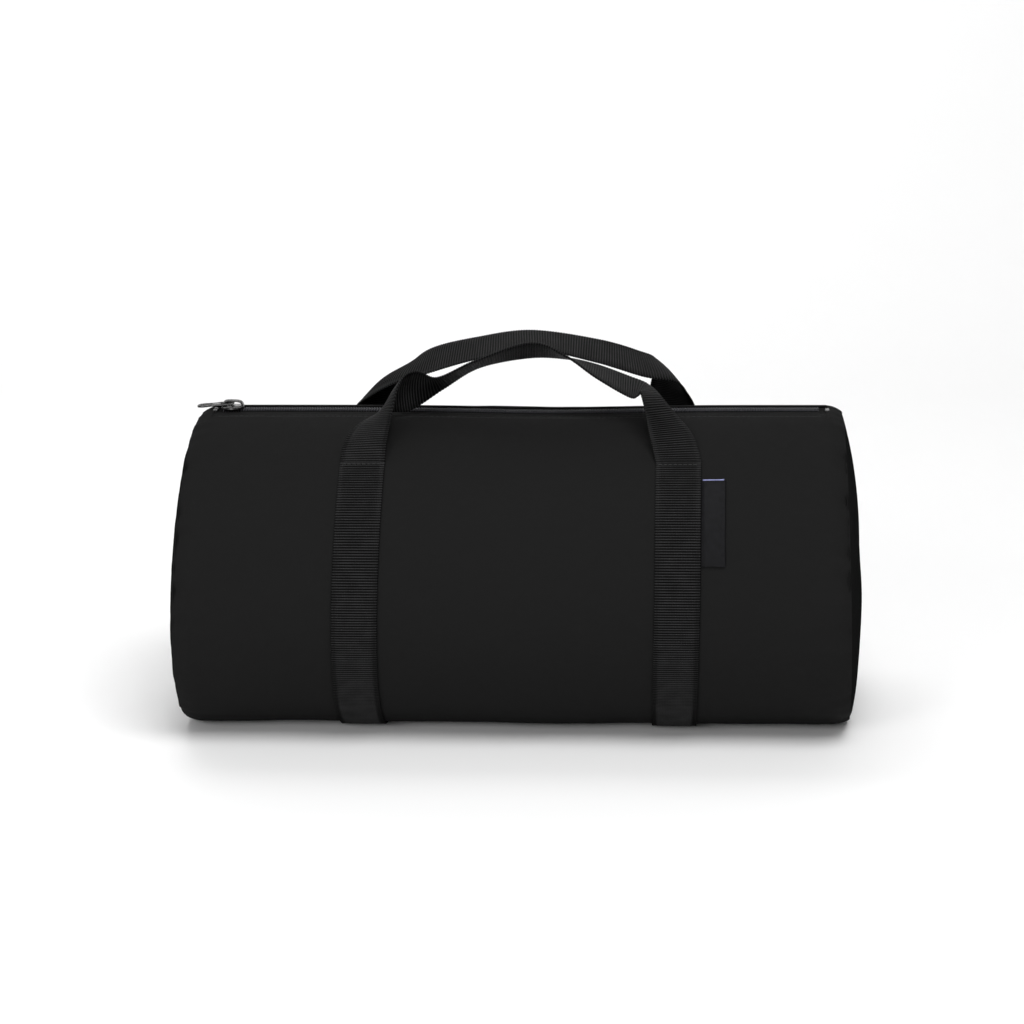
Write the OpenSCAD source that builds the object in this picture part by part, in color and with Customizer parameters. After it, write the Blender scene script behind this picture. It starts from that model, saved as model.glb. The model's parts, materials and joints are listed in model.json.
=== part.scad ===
// Small barrel duffel bag: a soft tube with round ends, a coil zip along the top, two webbing
// straps round the body and two webbing grab handles. X runs along the bag, -Y is the front,
// +Z is up. The origin lies under the bag's middle, on the surface that it rests on.
// All sizes are in millimetres.

/* [Body] */
// Length of the tube between its two end seams
body_len = 364; // [340:1:400]
// Radius of the tube
body_r = 90; // [84:1:96]
// How much the bag's own weight flattens its underside
flat_h = 6; // [4:0.5:8]
// How far each end panel puffs out past its seam
end_bulge = 9; // [6:0.5:11]
// Thickness of the lined and padded body fabric
fabric_t = 1.2; // [1:0.1:1.2]

/* [Straps and handles] */
// Width of the webbing
strap_w = 25; // [23:0.5:26]
// Thickness of the webbing
strap_t = 1.5; // [1.2:0.1:1.6]
// Distance from the bag's middle to the centre line of each strap
strap_x = 87; // [84:1:90]
// Angle from the bag's top line down to the bar tacks that hold the handles
tack_angle = 38; // [36:1:40]
// Thickness of the folded side label
label_t = 1; // [0.6:0.1:1.2]
// How far the side label stands out from the edge of its strap
label_w = 12; // [8:1:16]

/* [Zip] */
// Length of the part of the bag that opens
mouth_len = 339.4; // [320:0.1:350]
// Angle from the bag's top line to the edge of the fabric beside the zip
zip_edge_angle = 4; // [4:0.1:5]
// Width of one zip tape
tape_w = 13.5; // [11:0.5:16]
// Thickness of the zip tape
tape_t = 0.7; // [0.5:0.1:0.8]
// Length of the slider
slider_len = 12.4; // [11:0.2:13]
// Width of the slider across its shoulders
slider_w = 10; // [9:0.2:10.4]
// Length of the pull from its hinge bar to its tip
pull_len = 20.5; // [16:0.5:24]
// Angle at which the pull rests below the horizontal
pull_droop = 5; // [2:0.5:5]

/* [Hidden] */
$fn = 96;
fine_fn = 240;      // facets of the large round surfaces
eps = 0.01;

// ---- the tube ----
axis_z = body_r - flat_h + strap_t;       // the tube's axis above the resting surface
half_len = body_len / 2;
half_mouth = mouth_len / 2;
ring_gap = 0.3;                           // between the mouth's panels and the end rings
mouth_angle = 78;                         // from the top line down to where the mouth hinges
panel_gap_angle = 0.4;                    // half the gap between fabric panels at that hinge
strap_gap_angle = 0.7;                    // half the gap between webbing parts at that hinge

// ---- the ends ----
bulge_r = (body_r * body_r + end_bulge * end_bulge) / (2 * end_bulge);
binding_w = 4;                            // along the bag
binding_t = 2.2;                          // towards the axis
binding_clear = 0.3;

// ---- webbing ----
webbing_rise = 0.55;                      // the handles start this far above the fabric
tack_len = 2;                             // along the strap
tack_h = 0.4;
tack_margin = 1.5;                        // from the webbing's edge
label_top_angle = 46;
label_end_angle = 76.6;
label_clear = 0.15;

// ---- zip ----
tape_r = body_r - fabric_t - 0.2;         // outer face of the tape
tape_edge = 1.1;                          // from the middle of the zip
coil_r = 1;
coil_z = tape_r + coil_r;                 // centre of the coil above the axis
coil_in = 0.15;                           // closed coil: from the middle of the zip
coil_out = 3.1;
open_in = 1.3;                            // coil beyond the slider, where it has parted
open_out = 4.2;
slider_x = -half_mouth + 8.2;             // middle of the slider, at the closed end
post_x = slider_x - 3.4;                  // middle of the wedge that parts the two coils
stop_len = 2.3;
tab_len = 9;                              // fabric tab that covers each end of the zip
tab_over = 0.2;                           // the tab stands above the fabric beside it
tab_under = 0.2;                          // and reaches below it

// ---- slider and pull ----
plate_t = 1.2;
plate_z = coil_z + coil_r + 0.2;          // underside of the slider's top plate
under_z = tape_r - tape_t - 0.4;          // top of the slider's bottom plate
bar_r = 0.65;                             // the pull's hinge bar
bar_lift = 0.7;                           // between the top plate and the hinge bar
bar_z = plate_z + plate_t + bar_r + bar_lift;
spring_t = 0.2;
spring_z = bar_z + bar_r + 0.1;
cap_w = 4.2;
cap_z = spring_z + spring_t + 0.2;        // underside of the cap
cap_t = 0.9;
cap_leg = 1.7;                            // length of the foot at each end of the cap
pull_w = 7.6;
pull_t = 1.2;
arm_w = 1.2;
arm_len = slider_len / 2 + 0.9;           // the pull's arms reach past the end of the cap
eyelet_w = 3;
eyelet_len = 6.5;
pull_waist = 0.9;                         // how much the pull narrows behind its tip, each side

// ---- handles: the route of the webbing's middle line ----
// Each row is [x, out, up, turn, tip]. out is the distance from the bag's middle towards the
// handle's own side, and up is the height above the tube's axis. turn is the angle between the
// webbing's width and the bag's length, seen from above, and tip is how steeply the width rises.
// The rows suit a tube of radius 90 with its straps at 87, and stretch with it.
route_scale = [strap_x / 87, body_r / 90, body_r / 90, 1, 1];
foot_angle = tack_angle - 0.8;            // the webbing leaves the fabric just above the bar tacks
foot_r = body_r + webbing_rise + strap_t / 2 + 0.1;

// The front webbing folds over sharply above its left foot and lies nearly level at its right.
front_rows = [
    [-84, 48, 81, 10, 5], [-79, 39, 88, 30, 10], [-74, 32, 93, 55, 15], [-67, 24, 101, 65, 50],
    [-58, 18, 104, 75, 70], [-43, 11, 107, 95, 25], [-22, 12, 118, 90, 20], [7, 14, 126, 85, 30],
    [27, 13, 122, 90, 15], [44, 13, 114, 90, -5], [62, 16, 106, 90, -15], [69, 19, 105, 100, -5],
    [73, 27, 105, 110, 10], [80, 34, 93, 130, 5], [85, 45, 83, 160, 0]];

// The rear webbing makes a plain arch, a little steeper at its right.
rear_rows = [
    [-85, 44, 83, 10, 5], [-79, 34, 94, 40, 15], [-67, 23, 106, 65, 20], [-51, 19, 114, 85, 25],
    [-26, 17, 121, 90, 20], [6, 17, 126, 95, 15], [42, 17, 120, 90, 20], [67, 20, 112, 100, 25],
    [81, 27, 106, 120, 20], [83, 38, 93, 150, 5], [86, 48, 80, 175, 0]];
steps_per_row = 6;

black_fabric = "#232323";
black_webbing = "#1f1f20";
black_tape = "#181818";
coil_black = "#1c1a1b";
label_black = "#14141c";
gunmetal = "#4a4a4c";
spring_steel = "#8c8c90";

// ---------------------------------------------------------------- helpers

// Lays a flat shape across the bag (its x becomes Y, its y becomes Z, from the tube's axis)
// and extrudes it along X from x0 to x1.
module along(x0, x1) {
    translate([x0, 0, axis_z]) rotate([90, 0, 90]) linear_extrude(x1 - x0) children();
}

// The tube's cross-section, grown by g: a circle with its underside flattened.
module section(g) {
    intersection() {
        circle(body_r + g, $fn = fine_fn);
        translate([-body_r * 2, -(body_r - flat_h + g)]) square([body_r * 4, body_r * 4]);
    }
}

// A band that follows the cross-section, from g0 to g1 outside the tube.
module skin(g0, g1) {
    difference() {
        section(g1);
        section(g0);
    }
}

// The part of the plane between two angles, counted from the top line down. side is -1 at the
// front and 1 at the rear.
module sector(a0, a1, side) {
    reach = body_r * 2;
    mid = (a0 + a1) / 2;
    polygon([[0, 0], for (a = [a0, mid, a1]) reach * [side * sin(a), cos(a)]]);
}

module skin_sector(g0, g1, a0, a1, side) {
    intersection() {
        skin(g0, g1);
        sector(a0, a1, side);
    }
}

function curve(p, t) =
    let (n = len(p) - 1, i = min(floor(t), n - 1), u = t - i,
        a = p[max(i - 1, 0)], b = p[i], c = p[i + 1], d = p[min(i + 2, n)])
    (2 * b + (c - a) * u + (2 * a - 5 * b + 4 * c - d) * u * u
        + (3 * b - a - 3 * c + d) * u * u * u) / 2;

function unit(v) = v / norm(v);

// Where a handle's route starts, with end -1, and finishes, with end 1.
function foot(end) =
    [end * strap_x, foot_r * sin(foot_angle), foot_r * cos(foot_angle), end < 0 ? 0 : 180, 0];

function route(rows) =
    concat([foot(-1)], [for (row = rows) [for (k = [0:4]) row[k] * route_scale[k]]], [foot(1)]);

function route_point(row, side) = [row[0], side * row[1], row[2]];

function width_direction(row, side) =
    [cos(row[4]) * cos(row[3]), side * cos(row[4]) * sin(row[3]), sin(row[4])];

// The four corners of the webbing's cross-section at station t of a route.
function webbing_ring(rows, side, t) =
    let (row = curve(rows, t), last = len(rows) - 1,
        before = route_point(curve(rows, max(t - 0.05, 0)), side),
        after = route_point(curve(rows, min(t + 0.05, last)), side),
        across = -side * width_direction(row, side),
        up = unit(cross(after - before, across)))
    [for (s = [[-1, -1], [1, -1], [1, 1], [-1, 1]])
        route_point(row, side) + across * s.x * strap_w / 2 + up * s.y * strap_t / 2];

// A flat band of webbing along a route.
module webbing_band(rows, side) {
    rings = (len(rows) - 1) * steps_per_row;
    points = [for (i = [0:rings]) each webbing_ring(rows, side, i / steps_per_row)];
    last = rings * 4;
    faces = concat(
        [[0, 1, 2], [0, 2, 3]],
        [for (i = [0:rings - 1], k = [0:3])
            let (a = i * 4 + k, b = i * 4 + (k + 1) % 4) each [[a, a + 4, b + 4], [a, b + 4, b]]],
        [[last, last + 2, last + 1], [last, last + 3, last + 2]]);
    translate([0, 0, axis_z]) polyhedron(points, faces);
}

// ---------------------------------------------------------------- tube

module main_panel() {
    color(black_fabric) difference() {
        along(-half_len, half_len) skin(-fabric_t, 0);
        along(-half_mouth - ring_gap, half_mouth + ring_gap)
            for (side = [-1, 1])
                sector(-1, mouth_angle + panel_gap_angle, side);
        along(-half_len - 1, half_len + 1) sector(-zip_edge_angle, zip_edge_angle, 1);
    }
}

module end_panel(side) {
    color(black_fabric) intersection() {
        difference() {
            translate([side * (half_len + end_bulge - bulge_r), 0, axis_z])
                sphere(bulge_r, $fn = fine_fn);
            translate([side * (half_len + end_bulge - bulge_r), 0, axis_z])
                sphere(bulge_r - fabric_t, $fn = fine_fn);
        }
        along(side > 0 ? half_len : -half_len - end_bulge * 2,
            side > 0 ? half_len + end_bulge * 2 : -half_len) section(0);
    }
}

module seam_binding(side) {
    far = side * (half_len - 0.4);
    near = far - side * binding_w;
    color(black_tape) along(min(near, far), max(near, far))
        skin(-fabric_t - binding_clear - binding_t, -fabric_t - binding_clear);
}

// Folded fabric over the end of the zip, with a thin tongue under the stops.
module zip_tab(side) {
    edge = zip_edge_angle - 0.15;
    shoulder = half_len - tab_len;
    near = half_mouth + ring_gap;
    color(black_fabric) {
        along(side > 0 ? shoulder : -half_len, side > 0 ? half_len : -shoulder)
            skin_sector(-fabric_t - tab_under, tab_over, -edge, edge, 1);
        along(side > 0 ? near : -shoulder - eps, side > 0 ? shoulder + eps : -near)
            skin_sector(-fabric_t - 1, -fabric_t, -edge, edge, 1);
    }
}

module zip_top_stops() {
    color(gunmetal) for (side = [-1, 1])
        translate([-half_mouth - ring_gap - stop_len - 0.2, side * 2.5 - 1.1, axis_z + tape_r + 0.25])
            cube([stop_len, 2.2, 1.6]);
}

module zip_bottom_stop() {
    color(gunmetal)
        translate([half_mouth + ring_gap + 0.2, -3, axis_z + tape_r + 0.25])
            cube([stop_len, 6, 1.6]);
}

module strap(side) {
    color(black_webbing)
        along(side * strap_x - strap_w / 2, side * strap_x + strap_w / 2) difference() {
            skin(0, strap_t);
            for (s = [-1, 1]) sector(-1, mouth_angle + strap_gap_angle, s);
        }
}

// ---------------------------------------------------------------- mouth

module mouth_panel(side) {
    color(black_fabric) along(-half_mouth, half_mouth)
        skin_sector(-fabric_t, 0, zip_edge_angle, mouth_angle - panel_gap_angle, side);
}

module zip_tape(side) {
    near = asin(tape_edge / tape_r);
    far = asin((tape_edge + tape_w) / tape_r);
    color(black_tape) along(-half_mouth, half_mouth)
        skin_sector(tape_r - tape_t - body_r, tape_r - body_r, near, far, side);
}

// One side of the zip's coil: closed behind the slider, parted in front of it.
module zip_coil(side) {
    color(coil_black) {
        coil_run(slider_x - 1, half_mouth, coil_in, coil_out, side);
        coil_run(-half_mouth, slider_x - 0.9, open_in, open_out, side);
    }
}

module coil_run(x0, x1, inner, outer, side) {
    along(x0, x1) translate([side * (inner + outer) / 2, coil_z]) hull()
        for (s = [-1, 1])
            translate([s * ((outer - inner) / 2 - coil_r), 0]) circle(coil_r - eps, $fn = 24);
}

module strap_top(side_x, side) {
    color(black_webbing) along(side_x * strap_x - strap_w / 2, side_x * strap_x + strap_w / 2)
        skin_sector(0, strap_t, tack_angle + strap_gap_angle, mouth_angle - strap_gap_angle, side);
}

module bartacks(side) {
    near = tack_angle + strap_gap_angle + 0.3;
    far = near + tack_len / body_r * 180 / PI;
    color(black_tape) for (s = [-1, 1])
        along(s * strap_x - strap_w / 2 + tack_margin, s * strap_x + strap_w / 2 - tack_margin)
            skin_sector(strap_t, strap_t + tack_h, near, far, side);
}

module side_label() {
    edge = strap_x + strap_w / 2 + 0.3;
    color(label_black) along(edge, edge + label_w)
        skin_sector(label_clear, label_clear + label_t, label_top_angle, label_end_angle, -1);
}

// ---------------------------------------------------------------- slider and pull

// Outline of the slider's plates: wide shoulders where the coils part, narrow where they close.
module slider_outline(w) {
    back = slider_len / 2;
    polygon([[-back + 1.6, -w / 2], [-back + 3.4, -w / 2], [back - 1, -w / 2 + 0.9],
        [back, -w / 2 + 1.9], [back, w / 2 - 1.9], [back - 1, w / 2 - 0.9],
        [-back + 3.4, w / 2], [-back + 1.6, w / 2], [-back, w / 2 - 1.6], [-back, -w / 2 + 1.6]]);
}

module slider_body() {
    flange_t = 0.7;
    flange_h = 1.5;
    color(gunmetal) translate([slider_x, 0, axis_z]) {
        translate([0, 0, plate_z]) linear_extrude(plate_t) slider_outline(slider_w);
        translate([0, 0, under_z - plate_t]) linear_extrude(plate_t) slider_outline(slider_w);
        translate([post_x - slider_x, 0, under_z - eps]) linear_extrude(plate_z - under_z + 2 * eps)
            polygon([[-2, -0.8], [0.6, -0.8], [2, -0.1], [2, 0.1], [0.6, 0.8], [-2, 0.8]]);
        translate([0, 0, plate_z - flange_h]) linear_extrude(flange_h + eps) difference() {
            slider_outline(slider_w);
            slider_outline(slider_w - 2 * flange_t);
            translate([-slider_len, -open_out - 0.1]) square([slider_len * 2, open_out * 2 + 0.2]);
        }
    }
}

// The bridge over the hinge bar: a strip on two feet.
module slider_cap() {
    foot_z = plate_z + plate_t;
    color(gunmetal) translate([slider_x, 0, axis_z]) difference() {
        translate([0, cap_w / 2, foot_z]) rotate([90, 0, 0]) linear_extrude(cap_w)
            polygon([[-slider_len / 2, 0], [-slider_len / 2, cap_z - foot_z],
                [-slider_len / 2 + cap_t, cap_z + cap_t - foot_z],
                [slider_len / 2 - cap_t, cap_z + cap_t - foot_z],
                [slider_len / 2, cap_z - foot_z], [slider_len / 2, 0]]);
        translate([-slider_len / 2 + cap_leg, -cap_w, foot_z - 1])
            cube([slider_len - 2 * cap_leg, cap_w * 2, cap_z - foot_z + 1]);
    }
}

// The leaf spring inside the cap, with the pin that locks the slider.
module lock_spring() {
    color(spring_steel) translate([slider_x, 0, axis_z + spring_z]) {
        translate([-slider_len / 2 + cap_leg + 0.3, -1, 0])
            cube([slider_len - 2 * cap_leg - 0.6, 2, spring_t]);
        translate([slider_len / 2 - cap_leg - 1.3, -0.5, plate_z + plate_t + 0.1 - spring_z])
            cube([1, 1, spring_z - plate_z - plate_t]);
    }
}

module pull_tab() {
    color(gunmetal) translate([slider_x, 0, axis_z + bar_z]) {
        rotate([90, 0, 0]) translate([0, 0, -pull_w / 2]) cylinder(r = bar_r, h = pull_w);
        rotate([0, -pull_droop, 0]) translate([0, 0, -pull_t / 2]) linear_extrude(pull_t)
            difference() {
                union() {
                    translate([-arm_len - 1, -pull_w / 2]) square([arm_len + 1 + bar_r, pull_w]);
                    polygon([[-arm_len, -pull_w / 2], [-arm_len - 4, -pull_w / 2 + pull_waist],
                        [-pull_len + pull_w / 2, -pull_w / 2], [-pull_len + pull_w / 2, pull_w / 2],
                        [-arm_len - 4, pull_w / 2 - pull_waist], [-arm_len, pull_w / 2]]);
                    translate([-pull_len + pull_w / 2, 0]) circle(pull_w / 2);
                }
                translate([-arm_len, -pull_w / 2 + arm_w])
                    square([arm_len + bar_r + 1, pull_w - 2 * arm_w]);
                for (x = [-pull_len + pull_w / 2, -pull_len + pull_w / 2 + eyelet_len - eyelet_w])
                    translate([x, 0]) circle(eyelet_w / 2);
                translate([-pull_len + pull_w / 2, -eyelet_w / 2])
                    square([eyelet_len - eyelet_w, eyelet_w]);
            }
    }
}

// ---------------------------------------------------------------- handles

module front_handle() { color(black_webbing) webbing_band(route(front_rows), -1); }
module rear_handle() { color(black_webbing) webbing_band(route(rear_rows), 1); }

// ---------------------------------------------------------------- nodes

main_panel();
end_panel(-1);  // left_end_panel
end_panel(1);  // right_end_panel
seam_binding(-1);  // left_seam_binding
seam_binding(1);  // right_seam_binding
zip_tab(-1);  // left_zip_tab
zip_tab(1);  // right_zip_tab
zip_top_stops();
zip_bottom_stop();
strap(-1);  // left_strap
strap(1);  // right_strap
mouth_panel(-1);  // front_panel
zip_tape(-1);  // front_zip_tape
zip_coil(-1);  // front_zip_coil
strap_top(-1, -1);  // front_left_strap_top
strap_top(1, -1);  // front_right_strap_top
bartacks(-1);  // front_bartacks
side_label();
mouth_panel(1);  // rear_panel
zip_tape(1);  // rear_zip_tape
zip_coil(1);  // rear_zip_coil
strap_top(-1, 1);  // rear_left_strap_top
strap_top(1, 1);  // rear_right_strap_top
bartacks(1);  // rear_bartacks
slider_body();
slider_cap();
lock_spring();
pull_tab();
front_handle();
rear_handle();
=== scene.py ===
"""Looks of a small black barrel duffel bag: woven nylon tube, coil zip, ribbed webbing straps and handles.

Shapes are worked out in millimetres in the row frame and turned into metres when a mesh is made.
Two coordinates describe the bag's skin: x along the bag, and a, the angle round the tube from its top
line, positive towards the rear. surface(x, a, g) is the point g millimetres outside the fabric there.
"""
import json
import math

import bmesh
import bpy
import numpy as np
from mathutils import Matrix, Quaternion, Vector


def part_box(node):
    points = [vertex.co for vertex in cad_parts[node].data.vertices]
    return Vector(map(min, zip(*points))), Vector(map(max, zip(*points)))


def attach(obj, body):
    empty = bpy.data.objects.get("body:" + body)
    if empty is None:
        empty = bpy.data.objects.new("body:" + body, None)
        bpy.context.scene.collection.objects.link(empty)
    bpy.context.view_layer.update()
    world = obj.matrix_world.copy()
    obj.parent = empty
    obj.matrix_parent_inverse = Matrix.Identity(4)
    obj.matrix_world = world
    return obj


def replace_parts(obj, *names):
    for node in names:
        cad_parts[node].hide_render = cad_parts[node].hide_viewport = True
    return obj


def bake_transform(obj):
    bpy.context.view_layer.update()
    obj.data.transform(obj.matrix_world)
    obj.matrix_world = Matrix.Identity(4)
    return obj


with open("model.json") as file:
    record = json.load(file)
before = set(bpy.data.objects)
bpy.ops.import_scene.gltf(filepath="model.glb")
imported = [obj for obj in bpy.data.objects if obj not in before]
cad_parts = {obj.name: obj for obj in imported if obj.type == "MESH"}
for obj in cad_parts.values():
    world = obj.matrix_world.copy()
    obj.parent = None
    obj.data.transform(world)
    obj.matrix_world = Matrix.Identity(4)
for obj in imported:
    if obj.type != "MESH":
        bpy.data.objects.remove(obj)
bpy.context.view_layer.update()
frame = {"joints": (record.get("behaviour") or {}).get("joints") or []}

MM = 0.001
TAU = 2 * math.pi
SIDES = ((-1, "front"), (1, "rear"))        # each side's sign along Y
ENDS = ((-1, "left"), (1, "right"))         # each end's sign along X


# ------------------------------------------------------------------ sizes, from the frame
def low_of(node_name):
    return np.array(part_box(node_name)[0]) / MM


def high_of(node_name):
    return np.array(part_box(node_name)[1]) / MM


def joint_point(name):
    found = next(j for j in frame["joints"] if j["name"] == name)
    return np.array(found["pos_m"]) / MM


MOUTH_HINGE = joint_point("rear_mouth")
MOUTH_ANGLE = math.radians(78)              # from the top line down to where the mouth bends
TACK_ANGLE = math.radians(38)               # from the top line down to the bar tacks
R = MOUTH_HINGE[1] / math.sin(MOUTH_ANGLE)
AXIS_Z = MOUTH_HINGE[2] - R * math.cos(MOUTH_ANGLE)
HALF = high_of("main_panel")[0]             # half the length between the end seams
FLAT_Z = low_of("main_panel")[2] - AXIS_Z   # the flattened underside, from the axis
BULGE = high_of("right_end_panel")[0] - HALF
STRAP_W = high_of("right_strap")[0] - low_of("right_strap")[0]
STRAP_X = (high_of("right_strap")[0] + low_of("right_strap")[0]) / 2
STRAP_T = low_of("main_panel")[2] - low_of("right_strap")[2]
ZIP_END = high_of("front_panel")[0]         # half the length of the mouth
PULL_BAR = joint_point("pull_swing")
SLIDER_X = PULL_BAR[0]
SLIDER_LEN = high_of("slider_body")[0] - low_of("slider_body")[0]
SLIDER_W = high_of("slider_body")[1] - low_of("slider_body")[1]

# ------------------------------------------------------------------ sizes of the details
CLOTH_T = 1.0            # the lined fabric
FOLD_EDGE = 5.6          # from the zip's middle to the folded edge of the fabric
FRONT_FOLD = -0.75       # the front folded edge lies this far below the coil's level
REAR_FOLD = 1.0          # and the rear one stands up by this much
FOLD_OUT = (-0.42, -0.16, -0.03)            # heights of a folded edge's first rows, outside
FOLD_IN = (-0.58, -0.84, -0.97)             # and inside
FOLD_STITCH = 13.5       # from the zip's middle to the row of stitches beside it
TOP_SAG = 1.3            # the top line sags by this much between the straps
SEAM_ROLL = 9.0          # the fabric starts to curve in this far before the end seam
SEAM_DROP = 2.6          # and is this much lower at the seam
SEAM_OUT = 0.5           # and the seam lies this much further out
LEAN = 3.5               # the ends lean out at the bottom by this much, and in at the top
END_SHIFT = 1.3          # and both ends shift by this much towards -x, level with the axis
END_STEPS = 264          # cells round an end panel
MID_HALF = STRAP_X       # the middle pieces of fabric end under the straps' centre lines
RIB = 1.47               # pitch of the webbing's ribs
RIB_STEP = RIB / 6
RIB_DEPTH = 0.36
SELVEDGE = 2.1           # width of the webbing's borders, whose ribs lie half a pitch further on
EDGE_IN = 0.55           # how far the round edge of the webbing reaches in
WEBBING_T = STRAP_T - 0.06
LEFT_LEAN = 4.5          # the front left strap moves this much towards +x as it rises
RIGHT_LEAN = 2.8         # and the front right one this much
COIL_PITCH = 1.48
COIL_STEPS = 14          # points in each turn of a coil
COIL_WIRE = 0.31         # radius of its thread
STITCH = 3.1             # pitch of the topstitches
STITCH_GAP = 0.55
TACK_DOWN = 1.2          # the bar tacks lie this far below the place where the handle leaves

# The route of each handle's middle line, in rows of (x, out, up, turn, tip). out is the distance from
# the bag's middle towards the handle's own side, and up is the height above the tube's axis. turn is the
# angle, seen from above, between the webbing's width and the bag's length, and tip is how steeply the
# width rises, in degrees.
FRONT_ROUTE = [
    (-84, 48, 81, 10, 5), (-79, 39, 88, 30, 10), (-74, 32, 93, 55, 15), (-67, 24, 101, 65, 50),
    (-58, 18, 104, 75, 70), (-43, 11, 107, 95, 25), (-22, 12, 118, 90, 20), (7, 14, 126, 85, 30),
    (27, 13, 122, 90, 15), (44, 13, 114, 90, -5), (62, 16, 106, 90, -15), (69, 19, 105, 100, -5),
    (73, 27, 105, 110, 10), (80, 34, 93, 130, 5), (85, 45, 83, 160, 0)]
REAR_ROUTE = [
    (-85, 44, 83, 10, 5), (-79, 34, 94, 40, 15), (-67, 23, 106, 65, 20), (-51, 19, 114, 85, 25),
    (-26, 17, 121, 90, 20), (6, 17, 126, 95, 15), (42, 17, 120, 90, 20), (67, 20, 112, 100, 25),
    (81, 27, 106, 120, 20), (83, 38, 93, 150, 5), (86, 48, 80, 175, 0)]
# Where the webbing is cupped outwards: rows of (x, half-width, depth).
FRONT_CUPS = ((-60, 11, 4.3),)
REAR_CUPS = ((-79, 13, 5.0), (84, 9, 1.8))
FOOT_RISE = 20.0         # a handle's foot follows its strap's lean over this height


# ------------------------------------------------------------------ the bag's skin
def smooth(low, high, v):
    t = np.clip((v - low) / (high - low), 0, 1)
    return t * t * (3 - 2 * t)


def hump(v, centre, width):
    return np.exp(-((v - centre) / width) ** 2)


def waves(t, parts):
    """A sum of sines: parts are (amplitude, frequency, phase)."""
    return sum(amp * np.sin(freq * t + phase) for amp, freq, phase in parts)


SEAM_PUCKERS = ((0.42, 23, 0.4), (0.3, 37, 2.1), (0.2, 55, 4.0), (0.25, 15, 1.0))


def soft_folds(x, a):
    """Broad waves of stuffed fabric, with fine ones over them."""
    broad = 0.5 * np.sin(x / 31 + 1.3) * np.sin(2.1 * a + 0.5) + 0.3 * np.sin(x / 15 + 3 * a + 2)
    fine = 0.13 * np.sin(x / 4.7 + 5.2 * a) * np.sin(x / 19 - 4 * a + 1.1)
    return broad + fine


def drag_lines(x, s, side):
    """Slanting lines where the fabric pulls towards the zip's ends: the right ones only on the front."""
    right = 0.4 * np.sin((x - 0.9 * s) / 3.9) * hump(x, 152, 17) * hump(s, 42, 26) * (side < 0)
    return right + 0.28 * np.sin((x + 0.7 * s) / 4.6) * hump(x, -158, 15) * hump(s, 38, 24)


def seam_puckers(x, a):
    """Short and long puckers, which fade away from the end seams."""
    edge = HALF - np.abs(x)
    short = waves(a + 0.8 * np.sign(x), SEAM_PUCKERS) * np.exp(-edge / 9)
    return short + waves(a * 0.61 + np.sign(x), SEAM_PUCKERS) * 0.45 * np.exp(-edge / 26)


def zip_edge(x, s, side):
    """The rise or fall of the folded edge, and the groove that the topstitches pull."""
    fold = np.where(side < 0, FRONT_FOLD, REAR_FOLD) * smooth(3.2, 5.4, s) * (1 - smooth(7.5, 14, s))
    groove = -0.4 * hump(s, FOLD_STITCH, 1.0) * (1 + 0.35 * np.cos(TAU * x / STITCH))
    return (fold + groove) * (np.abs(x) < ZIP_END + 4)


def relief(x, a):
    """How far the fabric stands above the plain tube."""
    side = np.sign(a)
    s = np.abs(a) * R
    clear = 1 - hump(np.abs(x), STRAP_X, 17) ** 0.6         # nothing moves under a strap
    away = smooth(7, 34, s)                                 # nor right beside the zip
    folds = clear * away * (soft_folds(x, a) + drag_lines(x, s, side))
    sag = -TOP_SAG * hump(x, 20, 55) * hump(s, 0, 32)
    return folds + seam_puckers(x, a) * smooth(3, 20, s) + zip_edge(x, s, side) + sag


def rest_on(z, floor):
    """z, kept above a floor with a soft corner."""
    return floor + np.logaddexp(0, z - floor)


def base(x, a):
    """A point on the outside of the fabric."""
    x, a = np.broadcast_arrays(np.asarray(x, float), np.asarray(a, float))
    roll = np.clip((np.abs(x) - (HALF - SEAM_ROLL)) / SEAM_ROLL, 0, 2)
    r = R - SEAM_DROP * roll ** 2.2 + relief(x, a)
    lean = (SEAM_OUT - LEAN * np.cos(a)) * (np.abs(x) / HALF) ** 4 * np.sign(x)
    shift = END_SHIFT * (1 - np.cos(a)) * (x / HALF) ** 2
    z = rest_on(r * np.cos(a), FLAT_Z)
    return np.stack([x + lean - shift, r * np.sin(a), z + AXIS_Z], -1)


def unit(v):
    return v / np.maximum(np.linalg.norm(v, axis=-1, keepdims=True), 1e-9)


def skin_normal(x, a):
    along = base(x + 0.25, a) - base(x - 0.25, a)
    around = base(x, a + 0.003) - base(x, a - 0.003)
    return unit(np.cross(along, around))


def surface(x, a, g=0.0):
    x, a = np.broadcast_arrays(np.asarray(x, float), np.asarray(a, float))
    return base(x, a) + skin_normal(x, a) * np.asarray(g, float)[..., None]


# ------------------------------------------------------------------ meshes
def join_columns(*arrays):
    """Points from their coordinates' arrays, which are broadcast to one shape."""
    return np.stack(np.broadcast_arrays(*arrays), -1)


def link_object(name, mesh):
    obj = bpy.data.objects.new(name, mesh)
    bpy.context.scene.collection.objects.link(obj)
    return obj


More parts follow.
